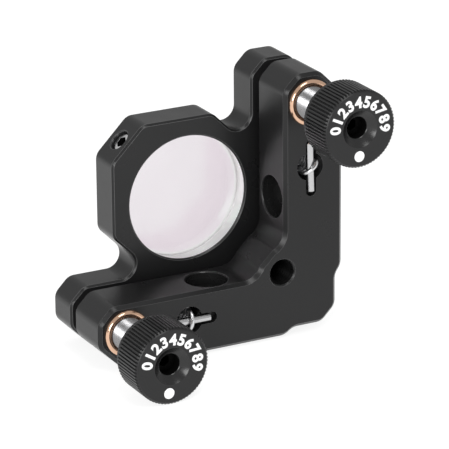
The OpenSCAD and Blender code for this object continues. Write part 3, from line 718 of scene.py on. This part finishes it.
def makeMirror():
    centre, nearY, farY, discR = axisOf("mirror_glass")
    near, far = mirror["nearBreak"], mirror["farBreak"]
    coatedR, groundR = mirror["coatedR"], mirror["groundR"]
    bm = turned([(0, nearY), (discR - near, nearY), (discR, nearY + near), (discR, farY - far),
                 (discR - far, farY), (groundR, farY), (coatedR, farY), (0, farY)], mirror["steps"], centre)
    finishes = [glassMaterial("clearGlass", (0.97, 0.97, 0.97), (1, 1, 1), roughness=0.2),
                glassMaterial("coatedGlass", (0.55, 0.475, 0.53), (0.59, 0.515, 0.57), roughness=0.1,
                              coat=0.5, sheen=(1, 2, 1.4)),
                glassMaterial("bareGlass", (0.56, 0.55, 0.55), (0.62, 0.61, 0.61), roughness=0.2),
                # the ground edge and rim glow: painted light, though they are no lamp
                glowingGroundGlass("groundEdgeGlow", (0.88, 0.87, 0.87), (0.95, 0.94, 0.94), paintedGlow=0.2),
                glowingGroundGlass("groundRimGlow", (0.3, 0.29, 0.295), (0.36, 0.35, 0.355), paintedGlow=0.3)]
    coated, bare, edge, rim = range(1, len(finishes))
    for face in bm.faces:
        spot = face.calc_center_median()
        if spot.y > farY - levelWithin:
            out = math.hypot(spot.x - centre.x, spot.z - centre.z)
            face.material_index = rim if out > groundR else bare if out > coatedR else coated
        elif spot.y > nearY + levelWithin:
            face.material_index = edge
    return evenNormals(makePiece(bm, "mirrorDisc", finishes, "front_plate", ["mirror_glass"]))


makeMirror()
makePiece(copyOf("mirror_screw_tip"), "mirrorScrewTip", [nylonMaterial()], "front_plate",
          ["mirror_screw_tip"])
print("mirror ready")


# floor, light and camera

stage = dict(floorSize=4.0, floorSteps=8, floorGap=0.00002, floorGlow=0.85, worldLight=0.6)


def makeFloor():
    material, tree, shader = newMaterial("floorWhite", Roughness=0.9, Specular_IOR_Level=0.0,
        Emission_Color=(1, 1, 1, 1), Emission_Strength=stage["floorGlow"])
    patches = useGroup(tree, softPatches, Size=4.0)
    mixColours(tree, patches.outputs["Mask"], (0.28, 0.28, 0.28), (0.31, 0.31, 0.31),
               shader.inputs["Base Color"])
    bm = bmesh.new()
    steps, lowest = stage["floorSteps"], min(cadLow.z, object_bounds()[0].z)
    bmesh.ops.create_grid(bm, x_segments=steps, y_segments=steps, size=stage["floorSize"] / 2)
    bmesh.ops.translate(bm, verts=bm.verts, vec=(0, 0, lowest - stage["floorGap"]))
    mesh = bpy.data.meshes.new("floor")
    bm.to_mesh(mesh)
    bm.free()
    mesh.materials.append(material)
    floor = bpy.data.objects.new("floor", mesh)
    scene.collection.objects.link(floor)


def makeWorld():
    world = bpy.data.worlds.new("studio")
    scene.world = world
    world.use_nodes = True
    light = world.node_tree.nodes["Background"].inputs
    light["Color"].default_value, light["Strength"].default_value = (1, 1, 1, 1), stage["worldLight"]


def addSoftbox(name, place, aim, size, power):
    data = bpy.data.lights.new(name, "AREA")
    data.shape, data.size, data.energy = "DISK", size, power
    lamp = bpy.data.objects.new(name, data)
    lamp.location = place
    lamp.rotation_mode = "QUATERNION"
    lamp.rotation_quaternion = (Vector(aim) - Vector(place)).to_track_quat("-Z", "Y")
    scene.collection.objects.link(lamp)


makeFloor()
makeWorld()
softboxes = dict(highSoftbox=dict(place=(-0.03, -0.36, 0.67), size=0.32, power=1.3),
                 sideSoftbox=dict(place=(-0.52, -0.45, 0.21), size=0.34, power=1.9))
for name, values in softboxes.items():
    addSoftbox(name, aim=(cadLow + cadHigh) / 2, **values)

lens = dict(place=(-0.26298, -0.510925, 0.23034), right=(0.8871, -0.4616, -0.0096),
            up=(0.1657, 0.2989, 0.9398), focal=265.28, sensor=36.0, shift=(0.0354, 0.0183), clip=(0.01, 20))


def makeCamera():
    data = bpy.data.cameras.new("camera")
    data.lens, data.sensor_width = lens["focal"], lens["sensor"]
    data.shift_x, data.shift_y = lens["shift"]
    data.clip_start, data.clip_end = lens["clip"]
    camera = bpy.data.objects.new("camera", data)
    right = Vector(lens["right"]).normalized()
    back = right.cross(Vector(lens["up"])).normalized()
    turn = Matrix((right, back.cross(right), back)).transposed()
    camera.rotation_mode = "QUATERNION"
    camera.rotation_quaternion = turn.to_quaternion()
    camera.location = lens["place"]
    scene.collection.objects.link(camera)
    scene.camera = camera


makeCamera()
